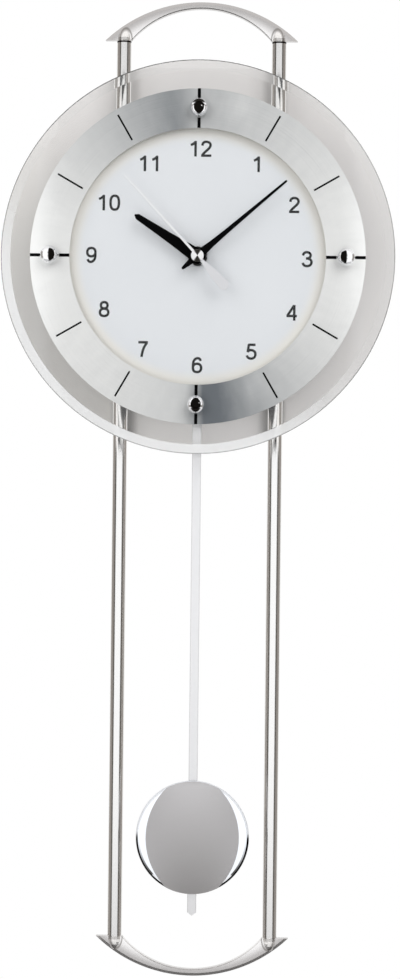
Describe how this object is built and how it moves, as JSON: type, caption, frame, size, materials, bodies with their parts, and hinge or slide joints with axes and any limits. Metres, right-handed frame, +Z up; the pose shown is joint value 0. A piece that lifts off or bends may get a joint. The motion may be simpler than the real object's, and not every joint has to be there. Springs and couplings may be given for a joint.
{
  "type": "radio-controlled wall clock",
  "caption": "Wall clock with a round glass disc, brushed hour ring and domed studs, on two vertical tubes joined by bows, over a swinging pendulum with a round bob.",
  "frame": {"origin": "middle of the hanger's keyhole, on the wall plane", "axes": "+Z up along the clock, +Y into the wall along the keyhole's axis, so the dial faces -Y"},
  "size_m": [0.24, 0.0662, 0.6076],
  "materials": {
    "satin_tube": "satin, drawn along the tube",
    "polished_bow": "smooth plated casting",
    "dark_steel": "black oxide",
    "rubber": "matt",
    "housing_plastic": "fine moulded grain",
    "zinc_steel": "zinc plated",
    "clear_glass": "polished, with a bevelled rim",
    "dial_paint": "satin silver white",
    "brushed_aluminium": "brushed",
    "black_paint": "satin black",
    "white_paint": "satin white",
    "chrome": "polished",
    "clear_plastic": "clear moulded",
    "movement_plastic": "moulded",
    "pale_nut": "satin",
    "board": "solder mask",
    "tin_can": "tin plated",
    "black_plastic": "moulded",
    "ferrite": "sintered",
    "copper_wire": "enamelled copper winding",
    "battery_jacket": "plain printed jacket, no lettering",
    "gear_plastic": "moulded",
    "rotor_magnet": "plated magnet",
    "satin_strip": "satin",
    "satin_plate": "fine satin",
    "button_plastic": "moulded"
  },
  "bodies": {
    "clock": {"tube_left": "satin_tube", "tube_right": "satin_tube", "top_bow": "polished_bow", "bottom_bow": "polished_bow", "bow_grub_screws": "dark_steel", "wall_bumpers": "rubber", "tube_saddles": "housing_plastic", "saddle_screws": "zinc_steel", "rear_housing": "housing_plastic", "hanger_plate": "zinc_steel", "hanger_screws": "zinc_steel", "glass_disc": "clear_glass", "dial_disc": "dial_paint", "chapter_ring": "brushed_aluminium", "hour_marks": "black_paint", "stud_rods": "zinc_steel", "dome_nuts": "chrome", "stud_washers": "clear_plastic", "stud_sleeves": "clear_plastic", "stud_hex_nuts": "zinc_steel", "movement_case": "movement_plastic", "movement_cover": "movement_plastic", "movement_screws": "zinc_steel", "centre_nut": "pale_nut", "circuit_board": "board", "quartz_crystal": "tin_can", "receiver_chip": "black_plastic", "ferrite_rod": "ferrite", "antenna_coil": "copper_wire", "stator_minute": "zinc_steel", "coil_minute": "copper_wire", "stator_second": "zinc_steel", "coil_second": "copper_wire", "battery": "battery_jacket", "battery_plus_contact": "tin_can", "battery_minus_contact": "tin_can", "pendulum_drive_coil": "copper_wire", "rocker_pivot_pin": "zinc_steel"},
    "minute_train": {"minute_hand": "black_paint", "minute_wheel": "gear_plastic"},
    "hour_train": {"hour_hand": "black_paint", "hour_wheel": "gear_plastic"},
    "second_train": {"second_hand": "white_paint", "second_wheel": "gear_plastic", "hub_cap": "chrome"},
    "motion_work": {"motion_wheel": "gear_plastic"},
    "minute_idler": {"idler_minute": "gear_plastic"},
    "minute_rotor": {"rotor_minute": "rotor_magnet"},
    "second_idler": {"idler_second": "gear_plastic"},
    "second_rotor": {"rotor_second": "rotor_magnet"},
    "pendulum": {"rocker_arm": "movement_plastic", "rocker_magnet": "rotor_magnet", "pendulum_rod": "satin_strip", "bob_disc": "chrome", "bob_plate": "satin_plate", "bob_clip": "movement_plastic"},
    "set_button": {"set_button": "button_plastic"},
    "reset_button": {"reset_button": "button_plastic"}
  },
  "joints": [
    {"name": "minute_turn", "type": "hinge", "parent": "clock", "child": "minute_train", "pos_m": [0, -0.06, -0.076], "axis": [0, 1, 0], "continuous": true},
    {"name": "hour_turn", "type": "hinge", "parent": "clock", "child": "hour_train", "pos_m": [0, -0.058, -0.076], "axis": [0, 1, 0], "continuous": true},
    {"name": "motion_wheel_turn", "type": "hinge", "parent": "clock", "child": "motion_work", "pos_m": [0, -0.041, -0.068], "axis": [0, 1, 0], "continuous": true},
    {"name": "minute_idler_turn", "type": "hinge", "parent": "clock", "child": "minute_idler", "pos_m": [-0.01353, -0.037, -0.08093], "axis": [0, 1, 0], "continuous": true},
    {"name": "minute_rotor_turn", "type": "hinge", "parent": "clock", "child": "minute_rotor", "pos_m": [-0.01818, -0.036, -0.0937], "axis": [0, 1, 0], "continuous": true},
    {"name": "second_turn", "type": "hinge", "parent": "clock", "child": "second_train", "pos_m": [0, -0.062, -0.076], "axis": [0, 1, 0], "continuous": true},
    {"name": "second_idler_turn", "type": "hinge", "parent": "clock", "child": "second_idler", "pos_m": [0.01052, -0.035, -0.07983], "axis": [0, 1, 0], "continuous": true},
    {"name": "second_rotor_turn", "type": "hinge", "parent": "clock", "child": "second_rotor", "pos_m": [0.01532, -0.034, -0.08814], "axis": [0, 1, 0], "continuous": true},
    {"name": "pendulum_swing", "type": "hinge", "parent": "clock", "child": "pendulum", "pos_m": [0, -0.0275, -0.1], "axis": [0, 1, 0], "range_deg": [-4, 4]},
    {"name": "set_button_press", "type": "slide", "parent": "clock", "child": "set_button", "axis": [0, -1, 0], "range_m": [0, 0.001], "stiffness_N_per_m": 300},
    {"name": "reset_button_press", "type": "slide", "parent": "clock", "child": "reset_button", "axis": [0, -1, 0], "range_m": [0, 0.001], "stiffness_N_per_m": 300}
  ],
  "couplings": [
    {"joint": "hour_turn", "follows": "minute_turn", "ratio": 0.083333},
    {"joint": "motion_wheel_turn", "follows": "minute_turn", "ratio": -0.33333},
    {"joint": "minute_idler_turn", "follows": "minute_turn", "ratio": -8},
    {"joint": "minute_rotor_turn", "follows": "minute_turn", "ratio": 60},
    {"joint": "second_idler_turn", "follows": "second_turn", "ratio": -6},
    {"joint": "second_rotor_turn", "follows": "second_turn", "ratio": 30}
  ]
}
